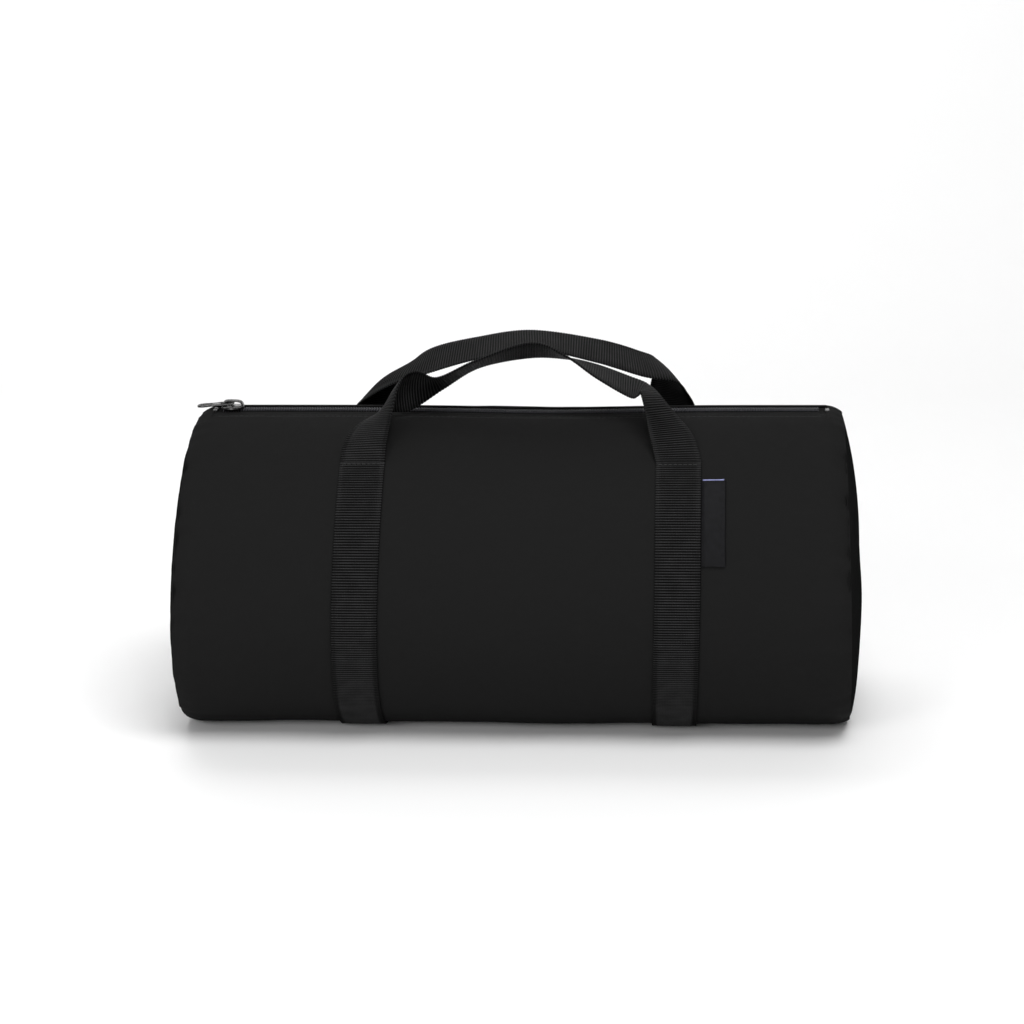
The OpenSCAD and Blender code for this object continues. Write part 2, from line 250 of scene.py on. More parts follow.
def make_mesh(name, verts, quads, uv=None, tris=None, flat_from=None, normals=None):
    """An object from arrays: verts in millimetres, quads as rows of four indices, uv one pair for each
    corner. Faces from flat_from on are shaded flat."""
    loops, sizes = [quads.ravel()], [np.full(len(quads), 4)]
    if tris is not None:
        loops.append(tris.ravel())
        sizes.append(np.full(len(tris), 3))
    loops, sizes = np.concatenate(loops).astype(np.int32), np.concatenate(sizes)
    mesh = bpy.data.meshes.new(name)
    mesh.vertices.add(len(verts))
    mesh.vertices.foreach_set("co", (np.asarray(verts, float) * MM).astype(np.float32).ravel())
    mesh.loops.add(len(loops))
    mesh.loops.foreach_set("vertex_index", loops)
    mesh.polygons.add(len(sizes))
    mesh.polygons.foreach_set("loop_start", (np.cumsum(sizes) - sizes).astype(np.int32))
    smooth_flags = np.ones(len(sizes), bool)
    if flat_from is not None:
        smooth_flags[flat_from:] = False
    mesh.update(calc_edges=True)
    mesh.polygons.foreach_set("use_smooth", smooth_flags)
    if uv is not None:
        layer = mesh.uv_layers.new(name="cloth")
        layer.data.foreach_set("uv", np.asarray(uv, np.float32).ravel())
    mesh.validate()
    if normals is not None:
        mesh.normals_split_custom_set(np.asarray(normals, np.float32).reshape(-1, 3))
    return link_object(name, mesh)


def grid_quads(rows, cols, closed=False):
    """Quads of a grid of points, row by row. closed joins the last column to the first."""
    i, j = np.meshgrid(np.arange(rows - 1), np.arange(cols if closed else cols - 1), indexing="ij")
    k = (j + 1) % cols
    corners = [i * cols + j, i * cols + k, (i + 1) * cols + k, (i + 1) * cols + j]
    return np.stack(corners, -1).reshape(-1, 4)


def sheet_object(name, outer, inner, uv, normals, flip):
    """A closed sheet from its outer and inner grids of points, with a rim. Shading runs on past its edges."""
    rows, cols = outer.shape[:2]
    count = rows * cols
    q = grid_quads(rows, cols)
    top, bottom = (q[:, ::-1], q + count) if flip else (q, (q + count)[:, ::-1])
    ring = np.concatenate([
        np.arange(cols), np.arange(1, rows) * cols + cols - 1,
        np.arange(cols - 2, -1, -1) + (rows - 1) * cols, np.arange(rows - 2, 0, -1) * cols])
    nxt = np.roll(ring, -1)
    rim = np.stack([ring, nxt, nxt + count, ring + count], -1)
    quads = np.concatenate([top, bottom, rim if flip else rim[:, ::-1]])
    verts = np.concatenate([outer.reshape(-1, 3), inner.reshape(-1, 3)])
    uvs = np.concatenate([uv.reshape(-1, 2)] * 2)[quads.ravel()]
    flat_n = normals.reshape(-1, 3)
    loop_n = np.concatenate([flat_n, -flat_n])[quads.ravel()]
    faces = len(top) + len(bottom)
    loop_n[faces * 4:] = 0
    return make_mesh(name, verts, quads, uvs, flat_from=faces, normals=loop_n)


def tube_object(name, rings, uv=None):
    """A closed tube from rings of points (count, sides, 3), with a fan over each end."""
    rows, cols = rings.shape[:2]
    verts = np.concatenate([rings.reshape(-1, 3), rings[0].mean(0)[None], rings[-1].mean(0)[None]])
    quads = grid_quads(rows, cols, closed=True)
    j = np.arange(cols)
    k = (j + 1) % cols
    first = np.stack([k, j, np.full(cols, rows * cols)], -1)
    last_row = (rows - 1) * cols
    last = np.stack([j + last_row, k + last_row, np.full(cols, rows * cols + 1)], -1)
    tris = np.concatenate([first, last])
    corner_uv = None
    if uv is not None:
        points = np.concatenate([uv.reshape(-1, 2), uv[0].mean(0)[None], uv[-1].mean(0)[None]])
        corner_uv = np.concatenate([points[quads.ravel()], points[tris.ravel()]])
    return make_mesh(name, verts, quads, corner_uv, tris=tris)


def join_meshes(name, parts):
    """One object from several (verts, quads) pairs."""
    verts, quads, offset = [], [], 0
    for v, q in parts:
        verts.append(v)
        quads.append(q + offset)
        offset += len(v)
    return make_mesh(name, np.concatenate(verts), np.concatenate(quads))


def swept_rings(path, radius, sides, up):
    """Rings of a round thread along a path of points."""
    tangent = unit(np.gradient(path, axis=0))
    side_v = unit(np.cross(tangent, np.broadcast_to(np.asarray(up, float), tangent.shape)))
    top_v = np.cross(side_v, tangent)
    angle = (np.arange(sides) / sides * TAU)[None, :, None]
    radius = np.broadcast_to(radius, len(path))[:, None, None]
    return path[:, None] + radius * (np.cos(angle) * side_v[:, None] - np.sin(angle) * top_v[:, None])


def finish_bmesh(name, bm):
    bmesh.ops.recalc_face_normals(bm, faces=bm.faces)
    mesh = bpy.data.meshes.new(name)
    bm.to_mesh(mesh)
    bm.free()
    mesh.polygons.foreach_set("use_smooth", np.ones(len(mesh.polygons), bool))
    return link_object(name, mesh)


def join_objects(name, objects):
    bm = bmesh.new()
    for o in objects:
        bm.from_mesh(o.data)
        bpy.data.objects.remove(o)
    return finish_bmesh(name, bm)


def rounded_block(name, low, high, bevel):
    """A block with rounded edges between two corners, in millimetres."""
    bm = bmesh.new()
    bmesh.ops.create_cube(bm, size=1)
    low, high = np.array(low, float), np.array(high, float)
    for v in bm.verts:
        v.co = Vector((low + (high - low) * (np.array(v.co) + 0.5)) * MM)
    bmesh.ops.bevel(bm, geom=list(bm.edges), offset=bevel * MM, segments=3, profile=0.6, affect="EDGES")
    return finish_bmesh(name, bm)


# ------------------------------------------------------------------ materials
def new_material(name, **inputs):
    mat = bpy.data.materials.new(name)
    mat.use_nodes = True
    shader = mat.node_tree.nodes["Principled BSDF"]
    for key, value in inputs.items():
        shader.inputs[key.replace("_", " ")].default_value = value
    return mat, mat.node_tree, shader


def math_node(tree, operation, *values):
    """A Math node on numbers and sockets."""
    n = tree.nodes.new("ShaderNodeMath")
    n.operation = operation
    for socket, value in zip(n.inputs, values):
        if isinstance(value, (int, float)):
            socket.default_value = value
        else:
            tree.links.new(value, socket)
    return n.outputs[0]


def weighted_sum(tree, total, *pairs):
    """total plus each socket times its weight."""
    for value, weight in pairs:
        total = math_node(tree, "MULTIPLY_ADD", value, weight, total)
    return total


def cloth_uv(tree):
    """The two cloth coordinates, in metres."""
    uv = tree.nodes.new("ShaderNodeUVMap")
    uv.uv_map = "cloth"
    split = tree.nodes.new("ShaderNodeSeparateXYZ")
    tree.links.new(uv.outputs[0], split.inputs[0])
    return uv.outputs[0], split.outputs[0], split.outputs[1]


PHASE = 0.5              # where the sines of a weave start, in radians


def sine(tree, value, pitch):
    """A sine along value, with one turn each pitch metres."""
    return math_node(tree, "SINE", math_node(tree, "MULTIPLY_ADD", value, TAU / pitch, PHASE))


def paint(tree, shader, factor, low, dark, high, light):
    """The base colour runs from dark, where factor is low, to light, where it is high."""
    n = tree.nodes.new("ShaderNodeValToRGB")
    tree.links.new(factor, n.inputs[0])
    for element, place, colour in zip(n.color_ramp.elements, (low, high), (dark, light)):
        element.position = place
        element.color = (*colour, 1)
    tree.links.new(n.outputs[0], shader.inputs["Base Color"])


def vary_roughness(tree, shader, factor, amount, roughness):
    """The roughness varies by amount about its middle value."""
    rough = math_node(tree, "MULTIPLY_ADD", factor, amount, roughness - amount / 2)
    tree.links.new(rough, shader.inputs["Roughness"])


def noise(tree, vector, scale, detail, rough=0.5):
    n = tree.nodes.new("ShaderNodeTexNoise")
    for key, value in (("Scale", scale), ("Detail", detail), ("Roughness", rough)):
        n.inputs[key].default_value = value
    tree.links.new(vector, n.inputs["Vector"])
    return n.outputs["Fac"]


def bump(tree, shader, height, distance, strength, before=None):
    n = tree.nodes.new("ShaderNodeBump")
    n.inputs["Distance"].default_value = distance
    n.inputs["Strength"].default_value = strength
    tree.links.new(height, n.inputs["Height"])
    if before is not None:
        tree.links.new(before, n.inputs["Normal"])
    tree.links.new(n.outputs[0], shader.inputs["Normal"])
    return n.outputs[0]


def woven_material(name, dark, light, pitch, roughness, gloss, **inputs):
    """Plain weave: over and under at the given yarn pitch, with patches of slightly different tone."""
    mat, tree, shader = new_material(name, Specular_IOR_Level=gloss, **inputs)
    uv, u, v = cloth_uv(tree)
    weave = math_node(tree, "MULTIPLY", sine(tree, u, pitch), sine(tree, v, pitch))
    patches = noise(tree, uv, 28, 4)
    slub = noise(tree, uv, 900, 2)
    tone = weighted_sum(tree, 0.5, (weave, 0.22), (patches, 0.5), (slub, 0.3))
    paint(tree, shader, tone, 0.15, dark, 0.7, light)
    vary_roughness(tree, shader, patches, 0.12, roughness)
    first = bump(tree, shader, weave, 0.00006, 0.8)
    bump(tree, shader, slub, 0.00008, 0.5, first)
    return mat


def webbing_with_groove_shade_material(name, dark, light):
    """Ribbed webbing: darker between the ribs, which is painted shade, with short lengthwise yarns over each
    rib.
    """
    mat, tree, shader = new_material(name, Roughness=0.6, Specular_IOR_Level=0.06)
    uv, u, v = cloth_uv(tree)
    wave = sine(tree, v, 2 * RIB * MM)
    rib = math_node(tree, "MULTIPLY", wave, wave)
    yarn = sine(tree, u, 0.9 * MM)
    slant = weighted_sum(tree, 0.0, (u, TAU / (0.62 * MM)), (v, TAU / (1.1 * MM)))
    twist = math_node(tree, "SINE", slant)
    patches = noise(tree, uv, 120, 3)
    # rib falls to 0 in the grooves between the ribs, where the base colour is painted shade.
    tone = weighted_sum(tree, 0.0, (rib, 0.75), (yarn, 0.05), (patches, 0.3))
    paint(tree, shader, tone, 0.5, dark, 1.0, light)
    first = bump(tree, shader, twist, 0.00004, 0.5)
    bump(tree, shader, yarn, 0.00006, 0.6, first)
    return mat


def grained_material(name, dark, light, scale, roughness, depth=0.0, **inputs):
    """A surface with fine variation of tone and gloss, for thread, nylon and metal."""
    mat, tree, shader = new_material(name, **inputs)
    grain = noise(tree, tree.nodes.new("ShaderNodeTexCoord").outputs["Object"], scale, 4, 0.6)
    paint(tree, shader, grain, 0.3, dark, 0.7, light)
    vary_roughness(tree, shader, grain, 0.18, roughness)
    if depth:
        bump(tree, shader, grain, depth, 0.5)
    return mat


def satin_material(name, dark, light):
    """Satin ribbon: fine lengthwise yarns with a soft directional gloss."""
    mat, tree, shader = new_material(name, Roughness=0.52, Anisotropic=0.4, Specular_IOR_Level=0.1)
    uv, u, _ = cloth_uv(tree)
    yarn = sine(tree, u, 0.3 * MM)
    tone = weighted_sum(tree, noise(tree, uv, 260, 3), (yarn, 0.2))
    paint(tree, shader, tone, 0.2, dark, 0.8, light)
    bump(tree, shader, yarn, 0.00004, 0.6)
    return mat


def grey(v, blue=0.0):
    return (v, v, v * (1 + blue))


WEAVE = 0.36 * MM
FABRIC = woven_material("body_fabric", grey(0.0066), grey(0.0104), WEAVE, 0.85, 0.03)
# The end panels get a darker copy of the body fabric: painted shade, for ends that face away from the lights.
PAINTED_SHADE_END_FABRIC = woven_material("painted_shade_end_fabric", grey(0.0056), grey(0.009), WEAVE, 0.9, 0.0)
TAPE = woven_material("zip_tape", grey(0.006), grey(0.0105), 0.55 * MM, 0.85, 0.03,
                      Sheen_Weight=0.04, Sheen_Roughness=0.45)
# The nearly black dark end is painted shade in the grooves between the ribs.
WEBBING = webbing_with_groove_shade_material("webbing", grey(0.0002), grey(0.028, 0.02))
COIL = grained_material("coil", grey(0.026, 0.12), grey(0.052, 0.12), 900, 0.5, Specular_IOR_Level=0.25)
THREAD = grained_material("thread", grey(0.007), grey(0.016), 2600, 0.8, 0.00005)
LABEL = satin_material("label", grey(0.003, 0.14), grey(0.0065, 0.2))
LABEL_LINE = satin_material("label_line", (0.17, 0.18, 0.34), (0.26, 0.28, 0.48))
METAL = grained_material("gunmetal", grey(0.045), grey(0.085), 420, 0.26, 0.00003, Metallic=1.0)
SPRING = grained_material("spring_steel", grey(0.42), grey(0.55), 700, 0.3, Metallic=1.0)


def dress(obj, mat):
    obj.data.materials.append(mat)
    return obj


# ------------------------------------------------------------------ fabric
def stations(*parts):
    """Joins evenly spaced stretches: (from, to, step) each."""
    out = [np.array([parts[0][0]])]
    for a, b, step in parts:
        out.append(np.linspace(a, b, max(2, int(round(abs(b - a) / step)) + 1))[1:])
    return np.concatenate(out)


HALF_ROUND = math.pi * R
HINGE_S = R * MOUTH_ANGLE
ROUND_STEP = 2.2         # size of the fabric's cells round the tube
ALONG_STEP = 2.4         # and along it
MIDDLE_X = stations((-MID_HALF, MID_HALF, ALONG_STEP))
END_X = stations((MID_HALF, 150, ALONG_STEP), (150, HALF - 6, 1.2), (HALF - 6, HALF + 1.2, 0.8))
FOLD_INNER = FOLD_EDGE + 0.9                # the fabric's rows lie close together from the edge to here
EDGE_ROWS = stations((FOLD_EDGE, FOLD_INNER, 0.15), (FOLD_INNER, 9, 0.7), (9, 16, 0.45), (16, 24, 1.4))


def skin_sheet(name, X, A, v, g_out, g_in, flip):
    """A closed sheet between two heights over the skin. v is its second cloth coordinate, in millimetres."""
    outer, inner = surface(X, A, g_out), surface(X, A, g_in)
    return sheet_object(name, outer, inner, np.stack([X, v], -1) * MM, skin_normal(X, A), flip)


def folded_sheet(name, x, s, side, flip):
    """Fabric over stations x, and s round the tube from the top line. Its first edge is folded."""
    g_out, g_in = np.zeros((len(s), 1)), np.full((len(s), 1), -CLOTH_T)
    g_out[:3, 0] = FOLD_OUT
    g_in[:3, 0] = FOLD_IN
    X, A = np.meshgrid(x, side * s / R)
    return dress(skin_sheet(name, X, A, np.abs(A) * R, g_out, g_in, flip), FABRIC)


def under_sheet(name, end):
    """Fabric round the underside, from one hinge line of the mouth to the other."""
    X, A = np.meshgrid(END_X * end, stations((MOUTH_ANGLE, TAU - MOUTH_ANGLE, ROUND_STEP / R)))
    wrapped = np.where(A > math.pi, A - TAU, A)
    return dress(skin_sheet(name, X, wrapped, A * R, 0.0, -CLOTH_T, flip=end < 0), FABRIC)


def bend_at_hinge(piece):
    """Bakes the piece's placement into its mesh; it does not bend at the mouth's hinge."""
    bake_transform(piece)


def open_from_end(piece):
    """Bakes the piece's placement into its mesh; it does not open with the lip."""
    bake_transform(piece)


def build_fabric():
    rows = np.concatenate([EDGE_ROWS, stations((24, HALF_ROUND, ROUND_STEP))[1:]])
    lip_rows = np.concatenate([EDGE_ROWS, stations((24, HINGE_S, ROUND_STEP))[1:]])
    for side, word in SIDES:
        middle = folded_sheet(f"{word}_fabric_middle", MIDDLE_X, rows, side, flip=side < 0)
        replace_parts(middle, f"{word}_panel")
        bend_at_hinge(middle)
        for end, hand in ENDS:
            piece = folded_sheet(f"{word}_fabric_{hand}", END_X * end, lip_rows, side, flip=side * end < 0)
            open_from_end(piece)
    for end, hand in ENDS:
        piece = under_sheet(f"under_fabric_{hand}", end)
        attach(piece, "shell")
        if end < 0:
            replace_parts(piece, "main_panel")


def end_profile(rho):
    """How far the end panel stands out, as a share of its bulge, at a share rho of its radius."""
    return (1 - np.clip(rho, 0, 1) ** 2.6) ** 0.75


def end_point(rho, a, end):
    """A point on the outside of an end panel. Past the seam, where rho is over 1, the cloth turns inside."""
    share = np.minimum(rho, 1)
    turn = np.clip(rho - 1, 0, 1) * R
    pucker = waves(a + 1.9 * end, SEAM_PUCKERS) * 0.9 * np.exp(-(1 - np.clip(rho, 0, 1)) * R / 9)
    soft = 0.5 * np.sin(3 * a + end) * np.sin(rho * 5)
    out = BULGE * end_profile(rho) + (pucker + soft) * np.clip(1 - rho, 0, 0.05) * 20 * (rho > 0.1)
    r = share * (R - SEAM_DROP - 0.4) - turn
    x = HALF + 0.2 + out + SEAM_OUT - LEAN * share * np.cos(a) - turn * 0.1
    shift = END_SHIFT * (1 - share * np.cos(a))
    z = rest_on(r * np.cos(a), FLAT_Z)
    return np.stack([x * end - shift, r * np.sin(a), z + AXIS_Z], -1)


def end_sheet(name, end):
    """A round sheet: rings of cells round a fan at the middle, closed by a rim."""
    rho = stations((0.02, 0.86, 0.022), (0.86, 1.0, 0.008), (1.0, 1.03, 0.015))
    rows, cols = END_STEPS, len(rho)
    count = rows * cols
    outer = end_point(*np.meshgrid(rho, np.arange(rows) / rows * TAU), end).reshape(-1, 3)
    hub = end_point(np.zeros(1), np.zeros(1), end)
    inward = np.array([end * CLOTH_T, 0, 0])
    verts = np.concatenate([outer, outer - inward, hub, hub - inward])
    q = grid_quads(rows + 1, cols) % count
    i = np.arange(rows) * cols
    k = np.roll(i, -1)
    edge, next_edge = i + cols - 1, k + cols - 1
    rim = np.stack([edge, next_edge, next_edge + count, edge + count], -1)
    fan = np.stack([i, k, np.full(rows, 2 * count)], -1)
    back = np.stack([k + count, i + count, np.full(rows, 2 * count + 1)], -1)
    quads = np.concatenate([q, (q + count)[:, ::-1], rim[:, ::-1]])
    tris = np.concatenate([fan, back])
    if end > 0:
        quads, tris = quads[:, ::-1], tris[:, ::-1]
    corners = np.concatenate([quads.ravel(), tris.ravel()])
    return make_mesh(name, verts, quads, verts[corners, 1:] * MM, tris=tris)


def build_ends():
    for end, hand in ENDS:
        # The darker fabric of the end panels is painted shade.
        piece = dress(end_sheet(f"{hand}_end", end), PAINTED_SHADE_END_FABRIC)
        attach(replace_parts(piece, f"{hand}_end_panel"), "shell")


# The seam tape's outline, in pairs of (along the bag, out from the seam).
BINDING = np.array([
    (0.6, -3.0), (0.5, -6.5), (-0.2, -7.4), (-1.2, -7.6), (-2.2, -7.3), (-2.9, -6.4), (-3.0, -3.0),
    (-2.2, -2.6), (-1.2, -2.5), (-0.2, -2.6)])
BINDING_STEPS = 700      # points round it


def build_bindings():
    """Tape folded over the seam allowance inside each end, a closed ring with crosswise ribs."""
    cols = len(BINDING)
    angle = np.linspace(0, TAU, BINDING_STEPS, endpoint=False)[:, None]
    rib = 0.09 * np.sin(angle * R / 1.1 * TAU)
    out = BINDING[:, 1] + rib * 0.5
    r = R - SEAM_DROP + out
    z = rest_on(r * np.cos(angle), FLAT_Z - out - 2.2)
    x = HALF - 1.4 + BINDING[:, 0] * (1 + rib) + SEAM_OUT - LEAN * np.cos(angle)
    shift = END_SHIFT * (1 - np.cos(angle))
    ring = grid_quads(BINDING_STEPS + 1, cols, closed=True) % (BINDING_STEPS * cols)
    uv = join_columns(np.arange(cols) * 1.2, angle * R).reshape(-1, 2) * MM
    for end, hand in ENDS:
        verts = np.stack([x * end - shift, r * np.sin(angle), z + AXIS_Z], -1).reshape(-1, 3)
        quads = ring if end > 0 else ring[:, ::-1]
        piece = dress(make_mesh(f"{hand}_binding", verts, quads, uv[quads.ravel()]), TAPE)
        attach(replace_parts(piece, f"{hand}_seam_binding"), "shell")


# ------------------------------------------------------------------ webbing
def rib_height(s, u):
    """1 on a rib and 0 between ribs."""
    phase = s / RIB + np.where(np.abs(u) > STRAP_W / 2 - SELVEDGE, 0.5, 0.0)
    return np.abs(np.sin(math.pi * phase)) ** 0.7


def webbing_section(s):
    """(u, v) round the webbing's cross-section at each s: u across it, v through it."""
    half = STRAP_W / 2
    flat = (half - EDGE_IN) * np.linspace(-1, 1, 19)
    edge_u, edge_v = np.array([half - 0.12, half, half - 0.12]), np.array([0.62, 0, -0.62])
    u = np.concatenate([flat, edge_u, flat[::-1], -edge_u])
    v = np.concatenate([np.ones(len(flat)), edge_v, -np.ones(len(flat)), -edge_v])
    S, U = np.meshgrid(s, u, indexing="ij")
    V = np.broadcast_to(v, S.shape)
    h = rib_height(S, U)
    groove = 0.16 * hump(np.abs(U), half - SELVEDGE, 0.35)
    depth = WEBBING_T / 2 + RIB_DEPTH * (h - 1) - groove
    return U + np.sign(U) * (np.abs(V) < 0.7) * 0.16 * (h - 1), V * depth


def webbing_piece(name, rings, U, s, flip):
    """A length of webbing from its rings, with its cloth coordinates across and along it."""
    uv = join_columns(U, s[:, None]) * MM
    if flip:
        rings, uv = rings[:, ::-1], uv[:, ::-1]
    return dress(tube_object(name, rings, uv), WEBBING)


def strap_middle(a, end):
    """x of a strap's centre line. The front ones lean towards +x as they near the handle."""
    front = np.where(a < 0, -a, math.pi)
    if end < 0:
        return -STRAP_X + LEFT_LEAN * smooth(2.6, TACK_ANGLE, front)
    return STRAP_X + RIGHT_LEAN * smooth(3.0, 1.2, front)


def build_straps():
    """Four lengths of webbing, each from its bar tack down to the middle of the underside."""
    length = R * (math.pi - TACK_ANGLE)
    s = np.linspace(0, length, int(round(length / RIB_STEP)) + 1)
    U, V = webbing_section(s)
    for side, word in SIDES:
        A = side * (TACK_ANGLE + s / R)[:, None]
        for end, hand in ENDS:
            rings = surface(strap_middle(A, end) + U, A, V + STRAP_T / 2 + 0.02)
            piece = webbing_piece(f"{word}_{hand}_webbing", rings, U, s, flip=side < 0)
            nodes = [f"{word}_{hand}_strap_top"] + ([f"{hand}_strap"] if side < 0 else [])
            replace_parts(piece, *nodes)
            bend_at_hinge(piece)


def spline(points, count):
    """Catmull-Rom through points, at count even steps of the parameter."""
    p = np.asarray(points, float)
    p = np.concatenate([2 * p[:1] - p[1:2], p, 2 * p[-1:] - p[-2:-1]])
    t = np.linspace(0, len(points) - 1 - 1e-9, count)
    i, u = t.astype(int), (t % 1)[:, None]
    a, b, c, d = p[i], p[i + 1], p[i + 2], p[i + 3]
    return (2 * b + (c - a) * u + (2 * a - 5 * b + 4 * c - d) * u ** 2 + (3 * b - a - 3 * c + d) * u ** 3) / 2


def foot(end, side):
    """The row where a handle's route meets its strap."""
    r = R + STRAP_T / 2 + 0.04
    x = float(strap_middle(side * TACK_ANGLE, end))
    return (x, r * math.sin(TACK_ANGLE), r * math.cos(TACK_ANGLE), 0 if end < 0 else 180, 0)


def handle_route(rows, side):
    """A handle's rows with its feet, where the rows near a foot follow the strap's lean."""
    left, right = foot(-1, side), foot(1, side)
    rows = np.array([left] + rows + [right])
    near = 1 - smooth(left[2], left[2] + FOOT_RISE, rows[1:-1, 2])
    lean = np.where(rows[1:-1, 0] < 0, left[0] + STRAP_X, right[0] - STRAP_X)
    rows[1:-1, 0] += near * lean
    return spline(rows, 6000)


def handle_line(rows, side):
    """Even lengths s along a handle, with its middle line, its width's direction and its outward one."""
    route = handle_route(rows, side)
    middle = route[:, :3] * (1, side, 1)
    run = np.concatenate([[0], np.cumsum(np.linalg.norm(np.diff(middle, axis=0), axis=1))])
    s = np.linspace(0, run[-1], int(round(run[-1] / RIB_STEP)) + 1)
    middle = np.stack([np.interp(s, run, middle[:, k]) for k in range(3)], -1)
    turn, tip = [np.radians(np.interp(s, run, route[:, k])) for k in (3, 4)]
    width = np.stack([np.cos(tip) * np.cos(turn), side * np.cos(tip) * np.sin(turn), np.sin(tip)], -1)
    outward = unit(np.cross(width, np.gradient(middle, axis=0))) * -side
    return s, middle, width, outward


def build_handle(word, rows, side, cups):
    s, middle, width, outward = handle_line(rows, side)
    clear_of_foot = smooth(middle[0, 2] + 3, middle[0, 2] + 16, middle[:, 2])
    cup = clear_of_foot * sum(depth * hump(middle[:, 0], x, half_width) for x, half_width, depth in cups)
    U, V = webbing_section(s)
    q = (U / (STRAP_W / 2))[..., None]
    cup, middle, width, outward = cup[:, None, None], middle[:, None], width[:, None], outward[:, None]
    band = middle + width * U[..., None] + outward * cup * (1 - q * q)
    normal = unit(outward + width * 2 * cup * q / (STRAP_W / 2))
    rings = band + normal * V[..., None] + np.array([0, 0, AXIS_Z])
    piece = webbing_piece(f"{word}_handle_webbing", rings, U, s, flip=side > 0)
    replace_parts(piece, f"{word}_handle")
    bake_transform(piece)


# ------------------------------------------------------------------ stitches
STITCH_T = np.array([0, 0.06, 0.2, 0.5, 0.8, 0.94, 1.0])                 # shares of a stitch's length,
STITCH_LIFT = np.array([-0.35, 0.06, 0.2, 0.24, 0.2, 0.06, -0.35])       # its height over the cloth there
STITCH_GIRTH = np.array([0.5, 0.9, 1, 1, 1, 0.9, 0.5])                   # and its radius, as a share


def thread_stitch(start, end, normal, radius):
    """One stitch: a thread that comes up out of the cloth and goes down again."""
    points = start + (end - start) * STITCH_T[:, None] + normal * STITCH_LIFT[:, None]
    rings = swept_rings(points, STITCH_GIRTH * radius, 6, normal)
    caps = np.array([[0, 3, 2, 1], [0, 5, 4, 3], [0, 1, 2, 3], [0, 3, 4, 5]])
    caps[2:] += 6 * (len(points) - 1)
    return rings.reshape(-1, 3), np.concatenate([grid_quads(len(points), 6, closed=True), caps])


def stitch_row(name, starts, ends, normals, radius):
    parts = [thread_stitch(p, q, n, radius) for p, q, n in zip(starts, ends, normals)]
    return dress(join_meshes(name, parts), THREAD)


def build_topstitch():
    for side, word in SIDES:
        for end, hand in ENDS:
            x = np.arange(0.2, ZIP_END - 2, STITCH) * end
            a = np.full(len(x), side * FOLD_STITCH / R)
            tips = surface(x + end * (STITCH - STITCH_GAP), a)
            row = stitch_row(f"{word}_topstitch_{hand}", surface(x, a), tips, skin_normal(x, a), 0.17)
            open_from_end(row)


def build_bartacks():
    """A dashed row across each strap, where the handle leaves the body."""
    across = np.arange(-STRAP_W / 2 + 1.6, STRAP_W / 2 - 3.2, 2.7)
    for side, word in SIDES:
        x = np.concatenate([strap_middle(side * TACK_ANGLE, end) + across for end in (-1, 1)])
        a = np.full(len(x), side * (TACK_ANGLE + TACK_DOWN / R))
        g = np.full(len(x), STRAP_T - 0.12)
        starts, tips = surface(x, a, g), surface(x + 2.1, a, g)
        row = stitch_row(f"{word}_bartack_stitches", starts, tips, skin_normal(x, a), 0.22)
        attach(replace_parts(row, f"{word}_bartacks"), f"{word}_lip")


# ------------------------------------------------------------------ zip
def parted(x):
    """How far the coil has moved from the zip's middle: it is parted in front of the slider."""
    return 1.5 * smooth(SLIDER_X - 1, SLIDER_X - 5.5, x)


def build_tapes():
    for side, word in SIDES:
        for end, hand in ENDS:
            X, A = np.meshgrid(stations((0, ZIP_END - 0.3, 2.0)) * end, side * stations((0.7, 14.6, 0.8)) / R)
            A = A + side * parted(X) / R * (1 - smooth(3, 10, np.abs(A) * R))
            v = np.abs(A) * R
            piece = skin_sheet(f"{word}_tape_{hand}", X, A, v, -1.38, -1.9, flip=side * end < 0)
            dress(piece, TAPE)
            if end < 0:
                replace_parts(piece, f"{word}_zip_tape")
            open_from_end(piece)


def build_coils():
    """Each half of the zip's coil, a helix of one thread along the edge of its tape."""
    turns = int((ZIP_END - 0.8) / COIL_PITCH)
    for side, word in SIDES:
        for end, hand in ENDS:
            x = end * np.arange(-1, turns * COIL_STEPS + 1) / COIL_STEPS * COIL_PITCH
            phase = TAU * x / COIL_PITCH + (math.pi if side > 0 else 0)
            u = 1.3 + 1.5 * np.cos(phase) + parted(x)
            path = surface(x, side * u / R, -0.3 + 0.7 * np.sin(phase))
            piece = tube_object(f"{word}_coil_{hand}", swept_rings(path, COIL_WIRE, 7, (1, 0, 0)))
            dress(piece, COIL)
            if end < 0:
                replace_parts(piece, f"{word}_zip_coil")
            open_from_end(piece)


def build_stops():
    """Two stops at the zip's closed end, and a bar that holds the coils together at the other."""
    low, high = AXIS_Z + R - 1.9, AXIS_Z + R
    left, right = -ZIP_END - 0.5, ZIP_END + 0.4
    stops = []
    for side, word in SIDES:
        y = side * 2.4
        stops.append(rounded_block(f"stop_{word}", (left - 2.5, y - 1.3, low), (left, y + 1.3, high), 0.5))
    pair = dress(join_objects("zip_top_stop_pair", stops), METAL)
    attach(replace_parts(pair, "zip_top_stops"), "shell")
    bar = rounded_block("zip_bottom_stop_bar", (right, -3.1, low), (right + 2.4, 3.1, high), 0.5)
    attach(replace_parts(dress(bar, METAL), "zip_bottom_stop"), "shell")


def build_tabs():
    """Plain fabric between each end of the zip and the seam, with a step up from the zip's level."""
    step_in, step_out = ZIP_END + 3, ZIP_END + 4
    x = stations((ZIP_END - 0.5, step_in, 0.5), (step_in, step_out, 0.2), (step_out, HALF + 1.0, 0.6))
    for end, hand in ENDS:
        X, A = np.meshgrid(x * end, stations((-7.2, 7.2, 0.6)) / R)
        past = np.abs(X) - ZIP_END
        g = -1.25 + 0.95 * smooth(3.1, 3.6, past) + 0.12 * hump(past, 4.3, 0.6)
        g = g - 0.5 * smooth(5, 7, np.abs(A) * R)
        piece = dress(skin_sheet(f"{hand}_tab", X, A, A * R, g, g - 0.8, flip=end < 0), FABRIC)
        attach(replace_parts(piece, f"{hand}_zip_tab"), "shell")


